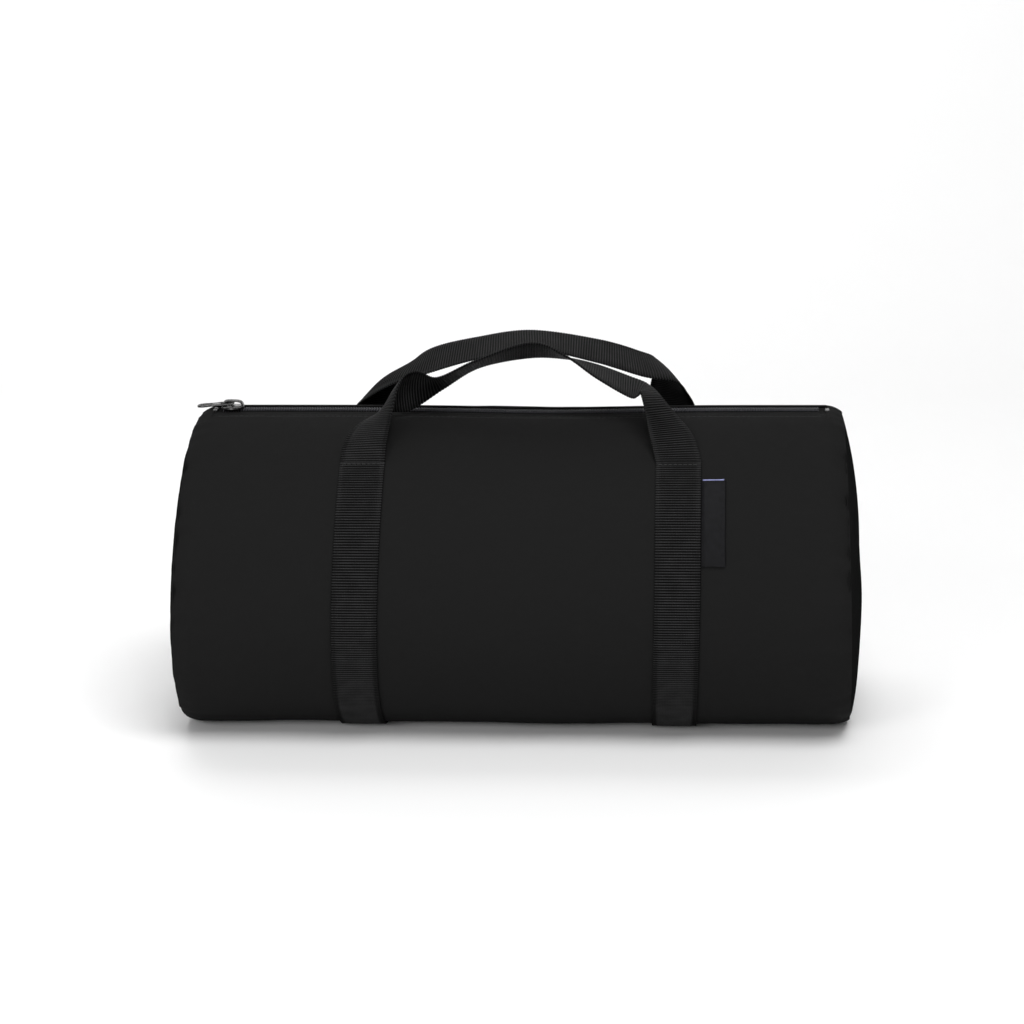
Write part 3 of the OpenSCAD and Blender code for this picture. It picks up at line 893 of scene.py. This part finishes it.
# ------------------------------------------------------------------ slider and pull
def extruded(name, outline, low, high, bevel):
    """A plate with rounded edges, from an outline in millimetres from the slider's middle."""
    bm = bmesh.new()
    rings = []
    for z in (low, high):
        rings.append([bm.verts.new(Vector(((SLIDER_X + x) * MM, y * MM, z * MM))) for x, y in outline])
    bm.faces.new(rings[0][::-1])
    bm.faces.new(rings[1])
    for i in range(len(outline)):
        j = (i + 1) % len(outline)
        bm.faces.new((rings[0][i], rings[0][j], rings[1][j], rings[1][i]))
    level = [e for e in bm.edges if abs(e.verts[0].co.z - e.verts[1].co.z) < 1e-7]
    bmesh.ops.bevel(bm, geom=level, offset=bevel * MM, segments=3, profile=0.5, affect="EDGES")
    return finish_bmesh(name, bm)


def corner(x, y, r, start):
    """A quarter round about (x, y), from the angle start in degrees."""
    angles = np.linspace(math.radians(start), math.radians(start + 90), 6)
    return [(x + r * math.cos(a), y + r * math.sin(a)) for a in angles]


def slider_outline():
    """Shoulders at -x, where the coils part, and a narrower tail."""
    b, w = SLIDER_LEN / 2, SLIDER_W / 2
    return (corner(1.8 - b, 1.8 - w, 1.8, 180) + corner(b - 1.6, 2.6 - w, 1.6, 270)
            + corner(b - 1.6, w - 2.6, 1.6, 0) + corner(1.8 - b, w - 1.8, 1.8, 90))


PLATE_T = 1.2            # the slider's two plates
WEDGE = [(-5.2, -0.9), (-3.4, -1.0), (-1.6, -0.3), (-1.6, 0.3), (-3.4, 1.0), (-5.2, 0.9)]


def build_slider():
    """Two plates joined by a wedge, with a flange down each edge of the upper one."""
    top, bottom = high_of("slider_body")[2] - PLATE_T, low_of("slider_body")[2]
    parts = [
        extruded("top", slider_outline(), top, top + PLATE_T, 0.32),
        extruded("bottom", slider_outline(), bottom, bottom + PLATE_T, 0.32),
        extruded("wedge", WEDGE, bottom + 0.6, top + 0.6, 0.1)]
    b, w = SLIDER_LEN / 2 - 1.7, SLIDER_W / 2
    for side, _ in SIDES:
        corners = ((-b, w - 0.05), (b, w - 0.95), (b, w - 1.6), (-b, w - 0.75))
        line = [(x, side * y) for x, y in corners]
        parts.append(extruded("flange", line if side < 0 else line[::-1], top - 1.2, top + 0.4, 0.12))
    body = dress(join_objects("slider_shell", parts), METAL)
    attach(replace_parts(body, "slider_body"), "slider")


BRIDGE_T = 0.9           # the bridge's metal


def build_cap():
    """The bridge over the hinge bar: a domed strip whose ends run down to the plate."""
    low, high = low_of("slider_cap"), high_of("slider_cap")
    foot_z = high_of("slider_body")[2] - 0.2
    half = SLIDER_LEN / 2 - 0.2
    t = np.linspace(-1, 1, 49)[:, None]
    lift = (1 - np.abs(t) ** 6) ** 0.5 * (1 - 0.10 * (t + 0.2) ** 2)
    waist = (high[1] - low[1]) / 2 * (1 - 0.12 * (1 - t ** 2))
    v = np.array([-1, -0.93, -0.75, -0.4, 0, 0.4, 0.75, 0.93, 1.0])
    crown = 0.55 * (1 - np.abs(v) ** 3) - 0.3
    outer_z = foot_z + lift * (high[2] - foot_z) - 0.25 + crown * (0.4 + 0.6 * lift)
    inner_z = foot_z + lift * (high[2] - foot_z - BRIDGE_T) - 0.2
    outer = join_columns(SLIDER_X + t * half, v * waist, outer_z)
    inner = join_columns(SLIDER_X + t * (half - BRIDGE_T), np.linspace(1, -1, 5) * waist * 0.96, inner_z)
    rings = np.concatenate([outer, inner], 1)[:, ::-1]
    cap = dress(tube_object("slider_bridge", rings), METAL)
    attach(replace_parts(cap, "slider_cap"), "slider")


def build_spring():
    """The leaf spring inside the cap, which dips at its +x end."""
    q = np.linspace(-1, 1, 25)[:, None]
    level = high_of("lock_spring")[2] - 0.1 - 0.5 * smooth(0.55, 1.0, q)
    y, z = np.array([-0.9, 0.9, 0.9, -0.9]), np.array([-0.1, -0.1, 0.1, 0.1])
    leaf = tube_object("lock_spring_leaf", join_columns(SLIDER_X + q * 4.1, y, level + z))
    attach(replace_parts(dress(leaf, SPRING), "lock_spring"), "slider")


PULL_LENGTH = SLIDER_X - low_of("pull_tab")[0]              # from the hinge bar
PULL_HALF_W = (high_of("pull_tab")[1] - low_of("pull_tab")[1]) / 2
PULL_ARM = SLIDER_LEN / 2 + 0.9                             # length of the two arms
PULL_DROOP = math.radians(5)
PULL_T = 0.36                                               # half the plate's thickness


def pull_half_width(d):
    """Half the pull's width at a distance d from the hinge bar: a waist, then a round tip."""
    waist = 0.75 * hump(d, PULL_ARM + 4.6, 3.2)
    past = np.clip((d - (PULL_LENGTH - PULL_HALF_W)) / PULL_HALF_W, 0, 1)
    return (PULL_HALF_W - waist) * np.sqrt(1 - past ** 2)


def hole(d, y, centre, half_l, half_w):
    """Below 1 inside a hole in the pull, and above 1 outside it."""
    return ((np.abs(d - centre) / half_l) ** 3 + (np.abs(y) / half_w) ** 3) ** (1 / 3)


def boundary(quads):
    """The directed edges that belong to one quad only."""
    edges = [tuple(e) for e in np.stack([quads, np.roll(quads, -1, 1)], -1).reshape(-1, 2)]
    known = set(edges)
    return np.array([e for e in edges if e[::-1] not in known])


def pull_plate():
    """The plate as two grids of cells, without those in the window and the eyelet, and a raised rim."""
    rows, cols = 150, 44
    D = np.repeat(np.linspace(-0.4, PULL_LENGTH - 0.02, rows)[:, None], cols, 1)
    Y = pull_half_width(D) * np.linspace(-1, 1, cols)
    eye_w, window_w = 1.55, PULL_HALF_W - 1.25
    eye = hole(D, Y, PULL_LENGTH - 5.3, 3.2, eye_w)
    window = hole(D, Y, PULL_ARM / 2 - 0.1, PULL_ARM / 2 + 0.1, window_w)
    from_side = np.maximum(np.abs(Y[:, :1]), 1e-3) - np.abs(Y)
    gaps = [from_side, (eye - 1) * eye_w, (window - 1) * window_w, PULL_LENGTH - D]
    edge = np.clip(np.minimum.reduce(gaps), 0, 9)
    rim = 0.22 * np.exp(-(edge - 0.42) ** 2 / 0.08)
    round_off = np.sqrt(1 - (1 - np.clip(edge / 0.32, 0, 1)) ** 2)
    half_t = (PULL_T + rim) * (0.25 + 0.75 * round_off)
    keep = (eye > 1) & (window > 1)
    cell = keep[:-1, :-1] & keep[1:, :-1] & keep[:-1, 1:] & keep[1:, 1:]
    q = grid_quads(rows, cols)[cell.ravel()]
    count = rows * cols
    first, second = boundary(q).T
    walls = np.stack([second, first, first + count, second + count], -1)
    faces = np.concatenate([q, (q + count)[:, ::-1], walls])
    verts = np.concatenate([np.stack([-D, Y, z], -1).reshape(-1, 3) for z in (half_t, -half_t)])
    used, faces = np.unique(faces, return_inverse=True)
    x, y, z = verts[used].T
    c, s = math.cos(PULL_DROOP), math.sin(PULL_DROOP)
    turned = np.stack([x * c - z * s, y, x * s + z * c], -1)
    return make_mesh("plate", turned + PULL_BAR, faces.reshape(-1, 4)[:, ::-1])


def pull_rod():
    """The round bar that the pull turns on."""
    angle = np.arange(16) / 16 * TAU
    y = np.array([-0.12, 0, 0.1])
    y = np.concatenate([y - PULL_HALF_W, (PULL_HALF_W - y)[::-1]])[:, None]
    radius = np.array([0.48, 0.66, 0.7, 0.7, 0.66, 0.48])[:, None]
    return tube_object("rod", join_columns(radius * np.cos(angle), y, radius * np.sin(angle)) + PULL_BAR)


def build_pull():
    """The pull lies towards -x: two arms on the hinge bar, then a waisted plate with an oval eyelet."""
    pull = dress(join_objects("pull", [pull_plate(), pull_rod()]), METAL)
    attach(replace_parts(pull, "pull_tab"), "pull")


# ------------------------------------------------------------------ label
LABEL_X = low_of("side_label")[0] + 2.7                     # where it comes out from under the strap
LABEL_W = high_of("side_label")[0] - low_of("side_label")[0]
LABEL_TOP, LABEL_END = math.radians(44.8), math.radians(75.6)


def ribbon_ring():
    """The folded ribbon's outline: out from the strap, round the fold and back."""
    w = LABEL_W
    out = [(0, 0.32), (w * 0.3, 0.3), (w * 0.6, 0.34), (w + 0.3, 0.42)]
    fold = [(w + 0.75, 0.5), (w + 0.9, 0.68), (w + 0.75, 0.88)]
    back = [(w + 0.3, 0.98), (w * 0.75, 1.0), (w * 0.5, 1.0), (w * 0.25, 0.98), (0, 0.95)]
    mid = np.array(out + fold + back)
    tangent = unit(np.gradient(mid, axis=0))
    off = np.stack([-tangent[:, 1], tangent[:, 0]], -1) * 0.13
    return np.concatenate([mid + off, (mid - off)[::-1]])[::-1]


def build_label():
    """A folded ribbon caught under the right strap."""
    a = stations((LABEL_TOP, LABEL_END, 0.5 / R))[:, None]
    x, g = ribbon_ring().T
    share = x / LABEL_W
    wave = 0.16 * np.sin(a * R / 6.5 + 0.6) + 0.1 * np.sin(a * R / 2.9)
    sag = 0.25 * np.sin((a - LABEL_TOP) / (LABEL_END - LABEL_TOP) * math.pi) * share
    rings = surface(LABEL_X + x - sag * 0.5, -a, g + (wave + 0.25) * share ** 2)
    label = dress(tube_object("flag_label", rings, join_columns(x, a * R) * MM), LABEL)
    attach(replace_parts(label, "side_label"), "front_lip")


def build_label_line():
    """A pale thread along the label's top edge."""
    t = np.linspace(0, 1, 30)
    a = np.full(len(t), -LABEL_TOP - 0.25 / R)
    path = surface(LABEL_X + 0.6 + t * (LABEL_W - 0.4), a, 0.9 + 0.3 * t ** 2 + 0.1 * np.sin(t * 7))
    uv = join_columns(np.arange(8) * 0.3, (t * LABEL_W)[:, None]) * MM
    line = tube_object("flag_label_top_line", swept_rings(path, 0.42, 8, (0, -0.7, 0.7)), uv)
    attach(dress(line, LABEL_LINE), "front_lip")


build_fabric()
build_ends()
build_bindings()
build_straps()
build_handle("front", FRONT_ROUTE, -1, FRONT_CUPS)
build_handle("rear", REAR_ROUTE, 1, REAR_CUPS)
build_topstitch()
build_bartacks()
build_tapes()
build_coils()
build_stops()
build_tabs()
build_slider()
build_cap()
build_spring()
build_pull()
build_label()
build_label_line()


# ------------------------------------------------------------------ stage, light, camera
def build_stage():
    """A pale floor that curves up into a backdrop."""
    floor_mat, _, _ = new_material("floor", Roughness=0.6, Base_Color=(0.9, 0.9, 0.9, 1))
    turn = np.linspace(0, math.pi / 2, 14)[1:]
    y = np.concatenate([np.linspace(-2200, 900, 4), 900 + 700 * np.sin(turn), [1600.0]])
    z = np.concatenate([np.zeros(4), 700 * (1 - np.cos(turn)), [2600.0]])
    verts = join_columns(np.linspace(-2500, 2500, 3), y[:, None], z[:, None]).reshape(-1, 3)
    floor = make_mesh("floor", verts, grid_quads(len(y), 3))
    floor.data.materials.append(floor_mat)


def add_light(name, place, target, size, power):
    data = bpy.data.lights.new(name, "AREA")
    data.size = size
    data.energy = power
    light = link_object(name, data)
    light.location = place
    light.rotation_euler = (Vector(target) - Vector(place)).to_track_quat("-Z", "Y").to_euler()


def build_lights():
    middle = (0, 0, AXIS_Z * MM)
    add_light("overhead", (0.42, -0.95, 1.75), middle, 1.0, 29)
    add_light("key", (-1.1, -2.0, 1.0), middle, 0.9, 19)
    add_light("front", (-0.4, -2.6, 0.5), middle, 1.5, 13)
    add_light("backdrop", (-0.5, 0.8, 2.1), (-0.5, 1.6, 0.7), 1.2, 14)
    world = bpy.data.worlds.new("studio")
    world.use_nodes = True
    background = world.node_tree.nodes["Background"]
    background.inputs["Color"].default_value = (1, 1, 1, 1)
    background.inputs["Strength"].default_value = 0.28
    bpy.context.scene.world = world
    bpy.context.scene.view_settings.view_transform = "Standard"


def build_camera():
    distance, azimuth, elevation, roll = 1.68, math.radians(4), math.radians(14), math.radians(0.8)
    aim = Vector((-0.005, 0, AXIS_Z * MM + 0.0305))
    level = math.cos(elevation)
    away = Vector((math.sin(azimuth) * level, -math.cos(azimuth) * level, math.sin(elevation)))
    data = bpy.data.cameras.new("camera")
    data.lens = 104.6
    camera = link_object("camera", data)
    camera.location = aim + away * distance
    upright = (-away).to_track_quat("-Z", "Y")
    camera.rotation_euler = (upright @ Quaternion((0, 0, 1), -roll)).to_euler()
    bpy.context.scene.camera = camera


build_stage()
build_lights()
build_camera()
